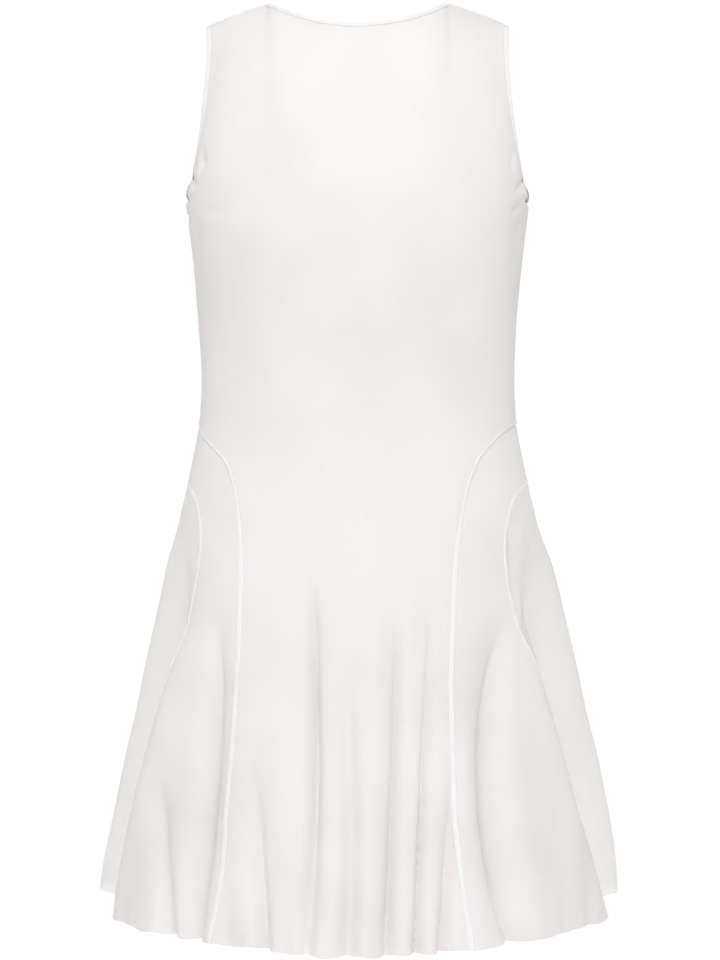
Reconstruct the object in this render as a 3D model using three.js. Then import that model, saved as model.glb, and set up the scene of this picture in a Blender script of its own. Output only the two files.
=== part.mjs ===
// Sleeveless A-line mini dress of sheer mesh cloth, filled out as worn, open at
// neck, armholes and hem.  Millimetres, +Z up, +X the wearer's right as the back
// is seen, -Y the back of the dress, +Y its front.  The origin is where the
// wearer's shoulders hold it, at the middle of the two shoulder seams.
//
// The garment is one surface, round below the underarms and a back and a front
// yoke above them.  Panels are cut out of that surface along the seams, given
// the thickness of the cloth, and kept a hair apart.
import * as THREE from 'three';

// ---- driving sizes ---------------------------------------------------------
const WALL = 1.6;            // cloth wall
const SEAM_GAP = 0.36;       // air between two panels at a seam
const FRONT_GAP = 0.9;       // air beside the bound edges in front, where they turn most
const BIND_W = 5.0;          // width of the bound edges
const BIND_OUT = 0.5;        // the binding stands this far out of the cloth
const BIND_T = 2.6;          // and is this thick
const Z_UNDER = -174;        // underarm
const Z_HEM = -848;          // hem
const Z_ARCH_A = -383;       // top of the outer arch seam, at the side
const Z_ARCH_B = -437;       // top of the inner arch seam
const NECK_HALF = 83;        // half width of the neckline on the shoulders
const NECK_TOP = 11.4;       // height of the shoulder point at the neck
const TIP_X = 142;           // shoulder tip at the armhole
const TIP_Z = -11;
const BACK_NECK = { depth: 31.6, back: 58, curve: 1.6, lean: 1.1 };
const FRONT_NECK = { depth: 116, front: 88, curve: 0.72, lean: 0.85 };

const COLS = 18;             // cells across the back and the front
const ARCH_COLS = 9;         // cells across a side panel
const SEAM_ROWS = 18;        // cells down a seam from the top of its arch
const GODET_TOP = 8;         // seam cells on each side that the godet's top takes
const YOKE_ROWS = 7;
const SIDE_ROWS = 6;         // cells down the side seam

// Level sections: height, half width, depth of back and front, squareness.
const SECTIONS = [
  { z: -174, half: 161.5, back: 107.5, front: 113, nb: 2.30, nf: 2.30 },
  { z: -212, half: 156.5, back: 106, front: 121, nb: 2.30, nf: 2.25 },
  { z: -250, half: 152.5, back: 102.5, front: 122.5, nb: 2.25, nf: 2.20 },
  { z: -290, half: 148.8, back: 97, front: 115, nb: 2.20, nf: 2.20 },
  { z: -343, half: 146.5, back: 91.5, front: 104, nb: 2.15, nf: 2.20 },
  { z: -383, half: 148.5, back: 91.5, front: 102.5, nb: 2.15, nf: 2.20 },
  { z: -420, half: 155.5, back: 94.5, front: 104.5, nb: 2.15, nf: 2.20 },
  { z: -470, half: 165.5, back: 102, front: 110, nb: 2.15, nf: 2.20 },
  { z: -530, half: 173, back: 114, front: 119.5, nb: 2.10, nf: 2.15 },
  { z: -600, half: 180, back: 129, front: 131, nb: 2.05, nf: 2.12 },
  { z: -680, half: 190, back: 145, front: 144, nb: 1.98, nf: 2.10 },
  { z: -760, half: 202, back: 161, front: 157, nb: 1.90, nf: 2.10 },
  { z: -848, half: 216, back: 177, front: 170, nb: 1.85, nf: 2.10 },
];

// Folds of the skirt.  Angles are from the centre back, + towards +X.
// top, mid, hem: the angle of the fold where it starts, half way and at the hem;
// z0: where it starts; dm, dh: how far it stands out half way and at the hem
// (- is a trough); w: its width in degrees; close: how far its lips close over.
const FOLDS = [
  { name: 'back_centre', top: 19, mid: 13.5, hem: 8, z0: -470, dm: -9, dh: -9, w: 4.6, close: 2.5 },
  { name: 'back_centre_left', top: -5, mid: -2, hem: -3, z0: -540, dm: -6, dh: -5, w: 4.8, close: 0 },
  { name: 'back_left', top: -22, mid: -15.5, hem: -14.5, z0: -480, dm: -9, dh: -4, w: 6, close: 0 },
  { name: 'back_right', top: 33, mid: 24, hem: 17.5, z0: -480, dm: -5, dh: -7, w: 3.2, close: 1.5 },
  { name: 'back_right_low', top: 34, mid: 29.5, hem: 25, z0: -640, dm: -4, dh: -6, w: 3, close: 1 },
  { name: 'right_band', top: 62, mid: 46, hem: 48.5, z0: -530, dm: -12, dh: -8, w: 4.6, close: 3 },
  { name: 'left_low', top: -37, mid: -32.5, hem: -28.5, z0: -640, dm: -4, dh: -5, w: 4, close: 0 },
  { name: 'left_seam_low', top: -45, mid: -43, hem: -39, z0: -740, dm: -2, dh: -4, w: 2.6, close: 0 },
  { name: 'left_band', top: -58, mid: -52, hem: -52.5, z0: -520, dm: -9, dh: -8, w: 4, close: 3 },
  { name: 'left_outer', top: -72, mid: -68, hem: -61, z0: -660, dm: -4, dh: -6, w: 3, close: 0 },
  { name: 'left_hollow', top: -40, mid: -38, hem: -36, z0: -600, dm: -2, dh: -7, w: 13, close: 0 },
  { name: 'right_near_flute', top: 70, mid: 77, hem: 92.5, z0: -540, dm: 19, dh: 36, w: 6.5, close: 0 },
  { name: 'right_deep', top: 80, mid: 86, hem: 101, z0: -455, dm: -38, dh: -56, w: 7.6, close: 4 },
  { name: 'right_far_flute', top: 98, mid: 109, hem: 115, z0: -440, dm: 49, dh: 87, w: 10.5, close: 0 },
  { name: 'left_near_flute', top: -70, mid: -79, hem: -94, z0: -550, dm: 23, dh: 37, w: 6.5, close: 0 },
  { name: 'left_deep', top: -80, mid: -88, hem: -101, z0: -455, dm: -36, dh: -56, w: 7.6, close: 4 },
  { name: 'left_far_flute', top: -98, mid: -110, hem: -120, z0: -440, dm: 43, dh: 92, w: 11.5, close: 0 },
  { name: 'front_right_a', top: 134, mid: 136, hem: 138, z0: -500, dm: -10, dh: -16, w: 5, close: 2 },
  { name: 'front_right_b', top: 148, mid: 153, hem: 156, z0: -560, dm: -6, dh: -8, w: 4, close: 0 },
  { name: 'front_right_c', top: 162, mid: 167, hem: 170, z0: -500, dm: -8, dh: -9, w: 4.6, close: 1.5 },
  { name: 'front_left_c', top: 188, mid: 185, hem: 184, z0: -590, dm: -6, dh: -7, w: 4.2, close: 0 },
  { name: 'front_left_b', top: 207, mid: 202, hem: 199, z0: -480, dm: -9, dh: -8, w: 5.2, close: 0 },
  { name: 'front_left_a', top: 224, mid: 220, hem: 216, z0: -540, dm: -9, dh: -14, w: 4.6, close: 2 },
];

// Outer arch seam: drop below its top against the angle from centre back of its
// back leg, and from centre front of its front leg, on the right and the left.
const SEAM_A = [
  { drop: 0, backR: 90, frontR: 90, backL: 90, frontL: 90 },
  { drop: 9, backR: 72, frontR: 73, backL: 81, frontL: 79 },
  { drop: 23, backR: 63, frontR: 65, backL: 70, frontL: 69 },
  { drop: 37, backR: 57, frontR: 59, backL: 62.5, frontL: 61 },
  { drop: 69, backR: 50, frontR: 52, backL: 55.5, frontL: 54 },
  { drop: 117, backR: 43.5, frontR: 45, backL: 50.5, frontL: 48 },
  { drop: 179, backR: 38.5, frontR: 39, backL: 47, frontL: 43 },
  { drop: 237, backR: 34.8, frontR: 35, backL: 45, frontL: 39 },
  { drop: 329, backR: 33, frontR: 32, backL: 44, frontL: 35 },
  { drop: 400, backR: 32.5, frontR: 31, backL: 44, frontL: 33 },
  { drop: 465, backR: 33.2, frontR: 30, backL: 45.5, frontL: 32 },
];
// Inner arch seam, the same way.
const SEAM_B = [
  { drop: 0, backR: 90, frontR: 90, backL: 90, frontL: 90 },
  { drop: 6, backR: 78, frontR: 78, backL: 81, frontL: 80 },
  { drop: 12, backR: 72, frontR: 73, backL: 76, frontL: 75 },
  { drop: 24, backR: 68, frontR: 69, backL: 71.5, frontL: 70.5 },
  { drop: 50, backR: 63.5, frontR: 65, backL: 67.8, frontL: 67 },
  { drop: 80, backR: 61.8, frontR: 62.5, backL: 67.2, frontL: 65 },
  { drop: 110, backR: 62.2, frontR: 61, backL: 68.5, frontL: 63 },
  { drop: 150, backR: 66, frontR: 59.5, backL: 70.5, frontL: 61 },
  { drop: 200, backR: 73.5, frontR: 58, backL: 75, frontL: 59 },
  { drop: 260, backR: 81.5, frontR: 57, backL: 82, frontL: 58 },
  { drop: 330, backR: 89, frontR: 56, backL: 89.5, frontL: 56.5 },
  { drop: 411, backR: 97, frontR: 55, backL: 97.5, frontL: 55.5 },
];

// Yoke columns from the centre (u 0) by the neck point (u 0.6) to the armhole
// (u 1): the angle at the underarm level and the two inner points of the curve
// up to the neckline or shoulder.
const U_NECK = 0.6;
const YOKE_BACK = [
  { u: 0.0, ang: 0, c1: [0, -109.5, -122], c2: [0, -95, -58] },
  { u: 0.3, ang: 28.5, c1: [60, -106, -120], c2: [60, -84, -46] },
  { u: 0.6, ang: 41.5, c1: [90, -98, -114], c2: [85, -62, -14] },
  { u: 0.8, ang: 60, c1: [132, -76, -124], c2: [113, -60, -26] },
  { u: 1.0, ang: 90, c1: [150, -50, -166], c2: [134, -68, -68] },
];
const YOKE_FRONT = [
  { u: 0.0, ang: 0, c1: [0, 108, -150], c2: [0, 99.5, -127] },
  { u: 0.3, ang: 35, c1: [69, 100, -141], c2: [65, 83, -106] },
  { u: 0.6, ang: 66, c1: [128, 74, -112], c2: [99, 45, -20] },
  { u: 0.8, ang: 78, c1: [140, 63, -144], c2: [116, 54, -38] },
  { u: 1.0, ang: 90, c1: [149, 48, -167], c2: [127, 66, -72] },
];

// ---- small functions -------------------------------------------------------
const V = (x, y, z) => new THREE.Vector3(x, y, z);
const rad = (d) => d * Math.PI / 180;
const wrap = (d) => ((d + 180) % 360 + 360) % 360 - 180;
const clamp01 = (t) => Math.min(1, Math.max(0, t));
const ease = (x, a, b) => { const t = clamp01((x - a) / (b - a)); return t * t * (3 - 2 * t); };
// Smooth through (0,a), (0.5,b) and (1,c).
const through3 = (a, b, c, t) => a * (1 - t) * (1 - 2 * t) + b * 4 * t * (1 - t) + c * t * (2 * t - 1);

// Smooth curve through a table's column, its key rising.
function column(table, key, name) {
  const k = table.map((r) => r[key]);
  const v = table.map((r) => r[name]);
  const n = k.length;
  const m = v.map((_, i) => {
    const a = Math.max(0, i - 1), b = Math.min(n - 1, i + 1);
    return (v[b] - v[a]) / (k[b] - k[a]);
  });
  return (x) => {
    if (x <= k[0]) return v[0] + (x - k[0]) * m[0];
    if (x >= k[n - 1]) return v[n - 1] + (x - k[n - 1]) * m[n - 1];
    let i = 0;
    while (x > k[i + 1]) i += 1;
    const h = k[i + 1] - k[i], t = (x - k[i]) / h;
    return v[i] * (2 * t ** 3 - 3 * t ** 2 + 1) + m[i] * h * (t ** 3 - 2 * t ** 2 + t)
      + v[i + 1] * (-2 * t ** 3 + 3 * t ** 2) + m[i + 1] * h * (t ** 3 - t ** 2);
  };
}

const byHeight = [...SECTIONS].reverse();
const section = Object.fromEntries(['half', 'back', 'front', 'nb', 'nf'].map((c) => [c, column(byHeight, 'z', c)]));

function baseRadius(th, z) {
  const a = Math.abs(wrap(th));
  const n = section.nb(z) + (section.nf(z) - section.nb(z)) * ease(a, 50, 130);
  const c = Math.cos(rad(a)), s = Math.sin(rad(a));
  const depth = c >= 0 ? section.back(z) : section.front(z);
  return (Math.abs(c / depth) ** n + (s / section.half(z)) ** n) ** (-1 / n);
}

// The hem rises a little between centre back and side, and in front.
function hemRise(th) {
  const a = Math.abs(wrap(th));
  return 3.0 * ease(a, 8, 40) * (1 - ease(a, 62, 84)) + 4.0 * ease(a, 96, 112);
}

// The garment below the underarms: angle and height to a point.
function skin(th, z) {
  let r = baseRadius(th, z), side = 0;
  for (const f of FOLDS) {
    const t = clamp01((f.z0 - z) / (f.z0 - Z_HEM));
    if (t === 0) continue;
    const amp = through3(0, f.dm, f.dh, t) * ease(t, 0, 0.2);
    const x = wrap(th - through3(f.top, f.mid, f.hem, t)) / f.w;
    const bell = Math.exp(-0.5 * x * x);
    r += amp * bell;
    side -= f.close * (amp / f.dm) * x * bell;
  }
  const s = Math.sin(rad(th)), c = Math.cos(rad(th));
  const low = clamp01((-560 - z) / (-560 - Z_HEM));
  return V(r * s + side * c, -r * c + side * s, z + hemRise(th) * low * low);
}

function skinNormal(th, z) {
  const a = skin(th + 0.25, z).sub(skin(th - 0.25, z));
  const b = skin(th, z + 0.5).sub(skin(th, z - 0.5));
  return a.cross(b).normalize();
}

// Neckline and shoulder: the top edge of a yoke at u.
function topEdge(u, neck, sign) {
  if (u <= U_NECK) {
    const p = (u / U_NECK) * Math.PI / 2;
    const c = Math.max(0, Math.cos(p));
    const reach = sign < 0 ? neck.back : neck.front;
    return V(NECK_HALF * Math.sin(p), sign * reach * c ** neck.lean, NECK_TOP - neck.depth * c ** neck.curve);
  }
  const w = (u - U_NECK) / (1 - U_NECK);
  return V(NECK_HALF + (TIP_X - NECK_HALF) * w, 0, NECK_TOP + (TIP_Z - NECK_TOP) * (0.75 * w + 0.25 * w * w));
}

function yoke(table, neck, sign) {
  const ang = column(table, 'u', 'ang');
  const flat = table.map((r) => ({ u: r.u, x1: r.c1[0], y1: r.c1[1], z1: r.c1[2], x2: r.c2[0], y2: r.c2[1], z2: r.c2[2] }));
  const q = Object.fromEntries(['x1', 'y1', 'z1', 'x2', 'y2', 'z2'].map((c) => [c, column(flat, 'u', c)]));
  const angle = (u) => (sign < 0 ? ang(u) : 180 - ang(u));
  // The curve up each column, walked by its own length.
  const curve = (u) => {
    const b = skin(angle(u), Z_UNDER), t = topEdge(u, neck, sign);
    const c1 = V(q.x1(u), q.y1(u), q.z1(u)), c2 = V(q.x2(u), q.y2(u), q.z2(u));
    return new THREE.CubicBezierCurve3(b, c1, c2, t);
  };
  const kept = new Map();
  const point = (us, v) => {
    const u = Math.abs(us), key = u.toFixed(6);
    if (!kept.has(key)) {
      const c = curve(u);
      c.arcLengthDivisions = 60;
      kept.set(key, c);
    }
    const p = kept.get(key).getPointAt(clamp01(v));
    return V((us < 0 ? -1 : 1) * p.x, p.y, p.z);
  };
  const normal = (us, v) => {
    const u0 = Math.max(-1, us - 0.01), u1 = Math.min(1, us + 0.01);
    const v0 = Math.max(0, v - 0.01), v1 = Math.min(1, v + 0.01);
    const a = point(u1, v).sub(point(u0, v)), b = point(us, v1).sub(point(us, v0));
    const n = a.cross(b).normalize();
    return sign < 0 ? n : n.negate();
  };
  return { angle: (u) => (u < 0 ? -1 : 1) * angle(Math.abs(u)), point, normal };
}
const backYoke = yoke(YOKE_BACK, BACK_NECK, -1);
const frontYoke = yoke(YOKE_FRONT, FRONT_NECK, 1);

const shoulderNormal = (us) => V((us < 0 ? -1 : 1) * (NECK_TOP - TIP_Z), 0, TIP_X - NECK_HALF).normalize();

// ---- grids -----------------------------------------------------------------
// A node of a grid is { p, n }: a point of the cloth's outer face and the normal.
const node = (th, z) => ({ p: skin(th, z), n: skinNormal(th, z), th, z });

// A row of cells between two nodes of the skin, evenly spaced along the cloth.
function rowBetween(a, b, cells) {
  const m = 90, at = (t) => [a.th + (b.th - a.th) * t, a.z + (b.z - a.z) * t];
  const len = [0];
  let last = skin(...at(0));
  for (let i = 1; i <= m; i += 1) {
    const p = skin(...at(i / m));
    len.push(len[i - 1] + p.distanceTo(last));
    last = p;
  }
  const out = [a];
  let k = 0;
  for (let j = 1; j < cells; j += 1) {
    const want = len[m] * j / cells;
    while (len[k + 1] < want) k += 1;
    out.push(node(...at((k + (want - len[k]) / (len[k + 1] - len[k])) / m)));
  }
  out.push(b);
  return out;
}

// Seam nodes from the top of an arch down to the hem: side is +1 right, -1 left.
function seamNodes(table, top, leg, side) {
  const rooted = table.map((r) => ({ s: Math.sqrt(r.drop), a: r[leg] }));
  const angle = column(rooted, 's', 'a');
  const total = top - Z_HEM, out = [];
  for (let i = 0; i <= SEAM_ROWS; i += 1) {
    const drop = total * (i / SEAM_ROWS) ** 2;
    const a = angle(Math.sqrt(drop));
    out.push(node(side * (leg.startsWith('front') ? 180 - a : a), top - drop));
  }
  return out;
}
const seams = {};
for (const [name, side] of [['R', 1], ['L', -1]]) {
  for (const [seam, table, top] of [['A', SEAM_A, Z_ARCH_A], ['B', SEAM_B, Z_ARCH_B]]) {
    seams[`${seam}back${name}`] = seamNodes(table, top, `back${name}`, side);
    seams[`${seam}front${name}`] = seamNodes(table, top, `front${name}`, side);
    seams[`${seam}front${name}`][0] = seams[`${seam}back${name}`][0];
  }
}
// Side seam nodes from the top of the outer arch up to the underarm.
const sideSeam = {};
for (const [name, side] of [['R', 1], ['L', -1]]) {
  sideSeam[name] = [];
  for (let i = 1; i <= SIDE_ROWS; i += 1) {
    const t = i / SIDE_ROWS;
    sideSeam[name].push(node(side * 90, Z_ARCH_A + (Z_UNDER - Z_ARCH_A) * t));
  }
}

// u of the yoke's columns, with one column on the neck point.
function yokeColumns() {
  const half = COLS / 2, inner = Math.round(half * U_NECK), out = [];
  for (let j = -half; j <= half; j += 1) {
    const a = Math.abs(j), m = j < 0 ? -1 : 1;
    out.push(m * (a <= inner ? U_NECK * a / inner : U_NECK + (1 - U_NECK) * (a - inner) / (half - inner)));
  }
  return out;
}
const US = yokeColumns();

// Columns of the front yoke stand back from the armhole, which cuts across them.
function spread(u, v) {
  const a = Math.abs(u);
  if (a <= U_NECK + 1e-9 || v >= 1) return u;
  const s = (a - U_NECK) / (1 - U_NECK);
  return Math.sign(u) * (U_NECK + (1 - U_NECK) * s ** (1 + 1.25 * Math.sin(Math.PI * v ** 0.75)));
}

// Rows of the back or the front, from the hem to the neckline and shoulders.
function bodyRows(which, patch) {
  const rows = [];
  const R = seams[`A${which}R`], L = seams[`A${which}L`];
  // The front runs from +X round to -X, so that both run with the normal outward.
  const first = which === 'back' ? L : R, last = which === 'back' ? R : L;
  const turn = (n) => (which === 'front' && n.th < 0 ? { ...n, th: n.th + 360 } : n);
  for (let i = SEAM_ROWS; i >= 0; i -= 1) rows.push(rowBetween(turn(first[i]), turn(last[i]), COLS));
  const sf = which === 'back' ? sideSeam.L : sideSeam.R, sl = which === 'back' ? sideSeam.R : sideSeam.L;
  const us = which === 'back' ? US : [...US].reverse();
  for (let i = 0; i < SIDE_ROWS; i += 1) {
    const even = rowBetween(turn(sf[i]), turn(sl[i]), COLS);
    const t = (i + 1) / SIDE_ROWS;
    rows.push(even.map((n, j) => {
      if (j === 0) return sf[i];
      if (j === COLS) return sl[i];
      let a = patch.angle(us[j]);
      if (which === 'front' && a < 0) a += 360;
      // The underarm row dips beside the bound edge.
      const dip = i === SIDE_ROWS - 1 ? 6.5 * Math.exp(-0.5 * (Math.min(j, COLS - j) - 1)) : 0;
      return node(n.th + (a - n.th) * t, n.z - dip);
    }));
  }
  for (let i = 1; i <= YOKE_ROWS; i += 1) {
    const v = i / YOKE_ROWS;
    rows.push(us.map((u0) => {
      const u = which === 'front' ? spread(u0, v) : u0;
      let n = patch.normal(u, v);
      if (i === YOKE_ROWS && Math.abs(u) >= U_NECK - 1e-9) n = shoulderNormal(u);
      return { p: patch.point(u, v), n };
    }));
  }
  return rows;
}
const backRows = bodyRows('back', backYoke);
const frontRows = bodyRows('front', frontYoke);
const TOP = backRows.length - 1;
const UNDER = TOP - YOKE_ROWS;
const NECK_COLS = US.map((u, j) => (Math.abs(u) <= U_NECK + 1e-9 ? j : -1)).filter((j) => j >= 0);
const MIRROR = (j) => COLS - j;

// ---- bound edges -----------------------------------------------------------
// A closed loop of nodes, each with dir, the way from the edge into the cloth.
function loopDirs(loop, inside) {
  const n = loop.length;
  loop.forEach((a, i) => {
    const t = loop[(i + 1) % n].p.clone().sub(loop[(i + n - 1) % n].p).normalize();
    const d = a.n.clone().cross(t).normalize();
    a.dir = d.dot(inside(a)) < 0 ? d.negate() : d;
    a.up = t.clone().cross(a.dir).normalize();
    if (a.up.dot(a.n) < 0) a.up.negate();
  });
  return loop;
}
const neckLoop = [];
for (const j of NECK_COLS) neckLoop.push({ ...backRows[TOP][j], from: [['back', TOP, j]] });
for (const j of NECK_COLS.slice(1, -1)) neckLoop.push({ ...frontRows[TOP][j], from: [['front', TOP, j]] });
neckLoop[0].from.push(['front', TOP, MIRROR(NECK_COLS[0])]);
neckLoop[NECK_COLS.length - 1].from.push(['front', TOP, MIRROR(NECK_COLS[NECK_COLS.length - 1])]);
loopDirs(neckLoop, (a) => V(a.p.x, a.p.y * 0.4, a.p.z - 60).sub(V(0, 0, 0)).setZ(-60));

function armLoop(side) {
  const jb = side > 0 ? COLS : 0, jf = MIRROR(jb), loop = [];
  for (let i = UNDER; i <= TOP; i += 1) {
    const at = { ...backRows[i][jb], from: [['back', i, jb]] };
    if (i === UNDER || i === TOP) at.from.push(['front', i, jf]);
    loop.push(at);
  }
  for (let i = TOP - 1; i > UNDER; i -= 1) loop.push({ ...frontRows[i][jf], from: [['front', i, jf]] });
  return loopDirs(loop, (a) => V(-side * 40, a.p.y * 2.5, a.p.z < -150 ? -90 : 0));
}
const armLoops = { right: armLoop(1), left: armLoop(-1) };

// The cloth's edge steps back from the binding.
const grids = { back: backRows, front: frontRows };
const bound = new Set();
for (const loop of [neckLoop, armLoops.right, armLoops.left]) {
  for (const a of loop) {
    for (const [g, i, j] of a.from) {
      const at = grids[g][i][j];
      const step = BIND_W + (g === 'front' ? FRONT_GAP : SEAM_GAP);
      grids[g][i][j] = { ...at, p: at.p.clone().addScaledVector(a.dir, step), n: at.n.clone() };
      bound.add(`${g},${i},${j}`);
    }
  }
}

// ---- solids ----------------------------------------------------------------
function meshOf(name, points, faces, material) {
  const pos = new Float32Array(points.flatMap((p) => [p.x, p.y, p.z]));
  let vol = 0;
  for (const [a, b, c] of faces) vol += points[a].dot(points[b].clone().cross(points[c]));
  const idx = faces.flatMap(([a, b, c]) => (vol > 0 ? [a, b, c] : [a, c, b]));
  const g = new THREE.BufferGeometry();
  g.setAttribute('position', new THREE.BufferAttribute(pos, 3));
  g.setIndex(idx);
  g.computeVertexNormals();
  const mesh = new THREE.Mesh(g, material);
  mesh.name = name;
  return mesh;
}

// Draw the rim in by half the seam gap, across the rim and within the cloth.
function drawIn(rows) {
  const R = rows.length, C = rows[0].length, rim = [];
  for (let j = 0; j < C; j += 1) rim.push([0, j]);
  for (let i = 1; i < R; i += 1) rim.push([i, C - 1]);
  for (let j = C - 2; j >= 0; j -= 1) rim.push([R - 1, j]);
  for (let i = R - 2; i > 0; i -= 1) rim.push([i, 0]);
  const n = rim.length;
  const moved = rim.map(([i, j], k) => {
    const at = rows[i][j];
    const [ai, aj] = rim[(k + n - 1) % n], [bi, bj] = rim[(k + 1) % n];
    const t0 = at.p.clone().sub(rows[ai][aj].p).normalize(), t1 = rows[bi][bj].p.clone().sub(at.p).normalize();
    const t = t0.clone().add(t1).normalize();
    const turn = Math.max(0.55, Math.abs(t.dot(t1)));
    // The rim runs round with the cloth on its left, seen against the normal.
    const d = at.n.clone().cross(t).normalize();
    return { ...at, p: at.p.clone().addScaledVector(d, (SEAM_GAP / 2) / turn) };
  });
  const out = rows.map((r) => [...r]);
  rim.forEach(([i, j], k) => { out[i][j] = moved[k]; });
  return out;
}

// A grid of the outer face becomes a closed wall of cloth.
function wallOf(name, grid, material) {
  const rows = drawIn(grid);
  const R = rows.length, C = rows[0].length, N = R * C;
  const pts = [];
  for (const r of rows) for (const a of r) pts.push(a.p);
  for (const r of rows) for (const a of r) pts.push(a.p.clone().addScaledVector(a.n, -WALL));
  const id = (i, j) => i * C + j, faces = [];
  for (let i = 0; i + 1 < R; i += 1) {
    for (let j = 0; j + 1 < C; j += 1) {
      const a = id(i, j), b = id(i, j + 1), c = id(i + 1, j + 1), d = id(i + 1, j);
      if (pts[a].distanceTo(pts[c]) <= pts[b].distanceTo(pts[d])) {
        faces.push([a, b, c], [a, c, d], [a + N, c + N, b + N], [a + N, d + N, c + N]);
      } else {
        faces.push([a, b, d], [b, c, d], [a + N, d + N, b + N], [b + N, d + N, c + N]);
      }
    }
  }
  const rim = [];
  for (let j = 0; j < C; j += 1) rim.push(id(0, j));
  for (let i = 1; i < R; i += 1) rim.push(id(i, C - 1));
  for (let j = C - 2; j >= 0; j -= 1) rim.push(id(R - 1, j));
  for (let i = R - 2; i > 0; i -= 1) rim.push(id(i, 0));
  rim.forEach((a, k) => {
    const b = rim[(k + 1) % rim.length];
    faces.push([a, a + N, b], [b, a + N, b + N]);
  });
  return meshOf(name, pts, faces, material);
}

// A bound edge: a flat closed ring of four-cornered section.
function bindingOf(name, loop, material) {
  const pts = [], faces = [], n = loop.length;
  for (const a of loop) {
    const e = a.p.clone().addScaledVector(a.up, BIND_OUT);
    const w = a.p.clone().addScaledVector(a.dir, BIND_W).addScaledVector(a.up, BIND_OUT);
    pts.push(e, w, w.clone().addScaledVector(a.up, -BIND_T), e.clone().addScaledVector(a.up, -BIND_T));
  }
  for (let i = 0; i < n; i += 1) {
    const k = (i + 1) % n;
    for (let s = 0; s < 4; s += 1) {
      const a = i * 4 + s, b = i * 4 + ((s + 1) % 4), c = k * 4 + ((s + 1) % 4), d = k * 4 + s;
      faces.push([a, b, c], [a, c, d]);
    }
  }
  return meshOf(name, pts, faces, material);
}

// Side panel between the two arch seams, up the back, over the side, down the front.
function archRows(name) {
  const rows = [];
  const Ab = seams[`Aback${name}`], Bb = seams[`Bback${name}`], Af = seams[`Afront${name}`], Bf = seams[`Bfront${name}`];
  for (let i = SEAM_ROWS; i >= 0; i -= 1) rows.push(rowBetween(Ab[i], Bb[i], ARCH_COLS));
  for (let i = 1; i <= SEAM_ROWS; i += 1) rows.push(rowBetween(Af[i], Bf[i], ARCH_COLS));
  // Right: A to B runs towards +theta, up the back.  Left runs the other way.
  return name === 'R' ? rows : rows.map((r) => [...r].reverse());
}

// Godet inside the inner arch seam, blended between its four edges.
function godetRows(name) {
  const Bb = seams[`Bback${name}`], Bf = seams[`Bfront${name}`];
  const top = [];
  for (let i = GODET_TOP; i >= 0; i -= 1) top.push(Bb[i]);
  for (let i = 1; i <= GODET_TOP; i += 1) top.push(Bf[i]);
  const cells = top.length - 1;
  const hem = rowBetween(Bb[SEAM_ROWS], Bf[SEAM_ROWS], cells);
  const rows = [], down = SEAM_ROWS - GODET_TOP;
  const z0 = top[0].z, z1 = Z_HEM;
  for (let k = 0; k <= down; k += 1) {
    const l = Bb[GODET_TOP + k], r = Bf[GODET_TOP + k], v = (l.z - z0) / (z1 - z0);
    rows.push(top.map((t, j) => {
      if (k === 0) return t;
      if (k === down) return hem[j];
      if (j === 0) return l;
      if (j === cells) return r;
      const u = j / cells;
      const mix = (key) => (1 - v) * t[key] + v * hem[j][key] + (1 - u) * l[key] + u * r[key]
        - ((1 - u) * (1 - v) * top[0][key] + u * (1 - v) * top[cells][key] + (1 - u) * v * hem[0][key] + u * v * hem[cells][key]);
      return node(mix('th'), mix('z'));
    }));
  }
  // From the hem up, so that columns and rows turn as on the other panels.
  rows.reverse();
  return name === 'R' ? rows : rows.map((r) => [...r].reverse());
}

// ---- the dress -------------------------------------------------------------
const cloth = (color) => new THREE.MeshStandardMaterial({ color, roughness: 0.92, metalness: 0, side: THREE.FrontSide });
const dress = new THREE.Group();
dress.name = 'dress';
dress.add(wallOf('back_panel', backRows, cloth(0xefebe8)));
dress.add(wallOf('front_panel', frontRows, cloth(0xece8e5)));
dress.add(wallOf('side_panel_right', archRows('R'), cloth(0xeeeae6)));
dress.add(wallOf('side_panel_left', archRows('L'), cloth(0xeeeae6)));
dress.add(wallOf('godet_right', godetRows('R'), cloth(0xebe7e3)));
dress.add(wallOf('godet_left', godetRows('L'), cloth(0xebe7e3)));
dress.add(bindingOf('neck_binding', neckLoop, cloth(0xf2efec)));
dress.add(bindingOf('armhole_binding_right', armLoops.right, cloth(0xf2efec)));
dress.add(bindingOf('armhole_binding_left', armLoops.left, cloth(0xf2efec)));

export default dress;
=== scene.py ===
# Sleeveless A-line mini dress of sheer mesh cloth, shaped as worn and open at
# neck, armholes and hem.  The camera looks along +Y at the back of the dress.
# Sizes here are in millimetres until a mesh is written, which is in metres.
import bpy
import math
import numpy as np
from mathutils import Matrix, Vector


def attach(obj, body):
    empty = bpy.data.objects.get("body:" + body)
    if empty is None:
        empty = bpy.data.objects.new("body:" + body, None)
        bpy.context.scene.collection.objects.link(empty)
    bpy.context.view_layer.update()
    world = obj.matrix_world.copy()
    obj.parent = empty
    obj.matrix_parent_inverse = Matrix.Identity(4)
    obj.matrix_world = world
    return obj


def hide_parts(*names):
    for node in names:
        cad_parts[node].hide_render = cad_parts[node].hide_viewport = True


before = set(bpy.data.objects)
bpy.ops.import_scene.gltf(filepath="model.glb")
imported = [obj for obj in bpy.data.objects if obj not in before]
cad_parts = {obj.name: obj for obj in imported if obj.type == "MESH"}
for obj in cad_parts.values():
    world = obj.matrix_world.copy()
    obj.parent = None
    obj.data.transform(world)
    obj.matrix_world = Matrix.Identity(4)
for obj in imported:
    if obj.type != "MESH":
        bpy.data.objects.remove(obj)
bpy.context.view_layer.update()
MM = 0.001

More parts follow.
